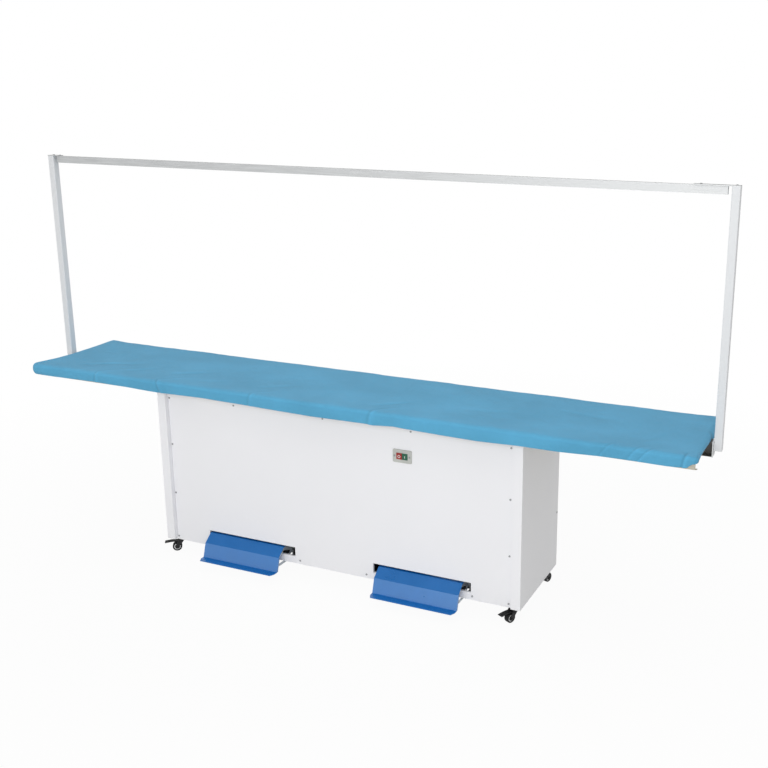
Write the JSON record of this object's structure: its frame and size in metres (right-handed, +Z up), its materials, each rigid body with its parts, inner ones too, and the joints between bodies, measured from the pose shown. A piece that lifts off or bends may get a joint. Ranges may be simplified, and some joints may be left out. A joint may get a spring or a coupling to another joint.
{
  "type": "vacuum ironing table",
  "caption": "Long padded suction ironing table on a wheeled cabinet with foot pedals, a push button switch and an overhead curtain rail.",
  "frame": {"origin": "on the floor, under the middle of the table's length and midway between the pedals' lips and the top's back edge", "axes": "+X along the table to the right seen from the pedals' side, +Y from the pedals to the back, +Z up"},
  "size_m": [3.086, 0.535, 1.7292],
  "materials": {
    "cover_cloth": "plain woven cotton, soft rolled edge",
    "felt": "white needle felt",
    "tray_paint": "beige powder coat",
    "galvanised_sheet": "galvanised",
    "cabinet_paint": "smooth satin white powder coat",
    "gantry_paint": "satin light grey powder coat",
    "rail_metal": "satin anodised",
    "zinc_steel": "zinc plated",
    "spring_steel": "bare spring wire",
    "switch_body": "fine textured grey",
    "stop_red": "glossy",
    "start_green": "glossy",
    "pedal_blue": "semi-gloss blue paint",
    "arm_paint": "pale grey paint",
    "black_plastic": "matt",
    "fan_paint": "grey enamel",
    "impeller_metal": "as pressed",
    "caster_black": "black lacquer",
    "wheel_rubber": "matt tread, lighter hub"
  },
  "bodies": {
    "table": {"ironing_cover": "cover_cloth", "cover_skirt": "cover_cloth", "felt_pad": "felt", "bed_tray": "tray_paint", "tray_ribs": "galvanised_sheet", "perforated_plate": "galvanised_sheet", "suction_duct": "galvanised_sheet", "top_rails": "galvanised_sheet", "exhaust_grille": "galvanised_sheet", "base_pan": "galvanised_sheet", "side_panel_left": "cabinet_paint", "side_panel_right": "cabinet_paint", "front_panel": "cabinet_paint", "back_panel": "cabinet_paint", "gantry_post_left": "gantry_paint", "gantry_post_right": "gantry_paint", "post_bracket_left": "gantry_paint", "post_bracket_right": "gantry_paint", "hanging_rail": "rail_metal", "rail_strap_left": "rail_metal", "rail_strap_right": "rail_metal", "panel_screws": "zinc_steel", "frame_bolts": "zinc_steel", "switch_screws": "zinc_steel", "caster_bolts": "zinc_steel", "pedal_shafts": "zinc_steel", "pedal_brackets": "zinc_steel", "motor_stand": "zinc_steel", "return_spring_left": "spring_steel", "return_spring_right": "spring_steel", "switch_box": "switch_body", "switch_plate": "switch_body", "rod_guides": "black_plastic", "damper_bushes": "black_plastic", "cable_gland": "black_plastic", "fan_housing": "fan_paint", "motor": "fan_paint", "caster_plates": "caster_black"},
    "pedal_lever_left": {"pedal_left": "pedal_blue", "pedal_arms_left": "arm_paint"},
    "pedal_lever_right": {"pedal_right": "pedal_blue", "pedal_arms_right": "arm_paint"},
    "left_push_rod": {"push_rod_left": "zinc_steel"},
    "right_push_rod": {"push_rod_right": "zinc_steel"},
    "left_damper": {"damper_left": "zinc_steel"},
    "right_damper": {"damper_right": "zinc_steel"},
    "fan_rotor": {"impeller": "impeller_metal", "motor_shaft": "zinc_steel"},
    "start_push_button": {"start_button": "start_green"},
    "stop_push_button": {"stop_button": "stop_red"},
    "caster_fl": {"caster_fork_fl": "caster_black"},
    "wheel_fl": {"caster_wheel_fl": "wheel_rubber"},
    "caster_fr": {"caster_fork_fr": "caster_black"},
    "wheel_fr": {"caster_wheel_fr": "wheel_rubber"},
    "caster_bl": {"caster_fork_bl": "caster_black"},
    "wheel_bl": {"caster_wheel_bl": "wheel_rubber"},
    "caster_br": {"caster_fork_br": "caster_black"},
    "wheel_br": {"caster_wheel_br": "wheel_rubber"},
    "brake_fl": {"brake_lever_fl": "black_plastic"},
    "brake_fr": {"brake_lever_fr": "black_plastic"}
  },
  "joints": [
    {"name": "pedal_left_press", "type": "hinge", "parent": "table", "child": "pedal_lever_left", "pos_m": [0, -0.1005, 0.1], "axis": [1, 0, 0], "range_deg": [0, 9.5], "stiffness_Nm_per_rad": 8, "springref_deg": -28.65},
    {"name": "rod_left_lift", "type": "slide", "parent": "table", "child": "left_push_rod", "axis": [0, 0, 1], "range_m": [0, 0.01882], "deforming": ["return_spring_left"]},
    {"name": "damper_left_open", "type": "hinge", "parent": "table", "child": "left_damper", "pos_m": [0, 0.0285, 0.7], "axis": [1, 0, 0], "range_deg": [-70, 0]},
    {"name": "pedal_right_press", "type": "hinge", "parent": "table", "child": "pedal_lever_right", "pos_m": [0, -0.1005, 0.1], "axis": [1, 0, 0], "range_deg": [0, 9.5], "stiffness_Nm_per_rad": 8, "springref_deg": -28.65},
    {"name": "rod_right_lift", "type": "slide", "parent": "table", "child": "right_push_rod", "axis": [0, 0, 1], "range_m": [0, 0.01882], "deforming": ["return_spring_right"]},
    {"name": "damper_right_open", "type": "hinge", "parent": "table", "child": "right_damper", "pos_m": [0, 0.0285, 0.7], "axis": [1, 0, 0], "range_deg": [-70, 0]},
    {"name": "fan_spin", "type": "hinge", "parent": "table", "child": "fan_rotor", "pos_m": [0.16, 0.0285, 0.33], "axis": [1, 0, 0], "continuous": true},
    {"name": "stop_press", "type": "slide", "parent": "table", "child": "stop_push_button", "axis": [0, 1, 0], "range_m": [0, 0.003], "stiffness_N_per_m": 400, "springref_m": -0.004},
    {"name": "start_press", "type": "slide", "parent": "table", "child": "start_push_button", "axis": [0, 1, 0], "range_m": [0, 0.003], "stiffness_N_per_m": 400, "springref_m": -0.004},
    {"name": "caster_fl_swivel", "type": "hinge", "parent": "table", "child": "caster_fl", "pos_m": [-0.805, -0.1365, 0.066], "axis": [0, 0, 1], "continuous": true},
    {"name": "wheel_fl_roll", "type": "hinge", "parent": "caster_fl", "child": "wheel_fl", "pos_m": [-0.82736, -0.15335, 0.0205], "axis": [0.6018, -0.7986, 0], "continuous": true},
    {"name": "brake_fl_step", "type": "hinge", "parent": "caster_fl", "child": "brake_fl", "pos_m": [-0.81938, -0.14733, 0.045], "axis": [0.6018, -0.7986, 0], "range_deg": [0, 12]},
    {"name": "caster_fr_swivel", "type": "hinge", "parent": "table", "child": "caster_fr", "pos_m": [0.805, -0.1365, 0.066], "axis": [0, 0, 1], "continuous": true},
    {"name": "wheel_fr_roll", "type": "hinge", "parent": "caster_fr", "child": "wheel_fr", "pos_m": [0.79185, -0.16122, 0.0205], "axis": [0.8829, -0.4695, 0], "continuous": true},
    {"name": "brake_fr_step", "type": "hinge", "parent": "caster_fr", "child": "brake_fr", "pos_m": [0.79655, -0.15239, 0.045], "axis": [0.8829, -0.4695, 0], "range_deg": [0, 12]},
    {"name": "caster_bl_swivel", "type": "hinge", "parent": "table", "child": "caster_bl", "pos_m": [-0.805, 0.1935, 0.066], "axis": [0, 0, 1], "continuous": true},
    {"name": "wheel_bl_roll", "type": "hinge", "parent": "caster_bl", "child": "wheel_bl", "pos_m": [-0.823, 0.21495, 0.0205], "axis": [-0.766, -0.6428, 0], "continuous": true},
    {"name": "caster_br_swivel", "type": "hinge", "parent": "table", "child": "caster_br", "pos_m": [0.805, 0.1935, 0.066], "axis": [0, 0, 1], "continuous": true},
    {"name": "wheel_br_roll", "type": "hinge", "parent": "caster_br", "child": "wheel_br", "pos_m": [0.81365, 0.22013, 0.0205], "axis": [-0.9511, 0.309, 0], "continuous": true}
  ],
  "couplings": [
    {"joint": "rod_left_lift", "follows": "pedal_left_press", "m_per_rad": 0.11348},
    {"joint": "damper_left_open", "follows": "pedal_left_press", "ratio": -7.3684},
    {"joint": "rod_right_lift", "follows": "pedal_right_press", "m_per_rad": 0.11348},
    {"joint": "damper_right_open", "follows": "pedal_right_press", "ratio": -7.3684}
  ]
}
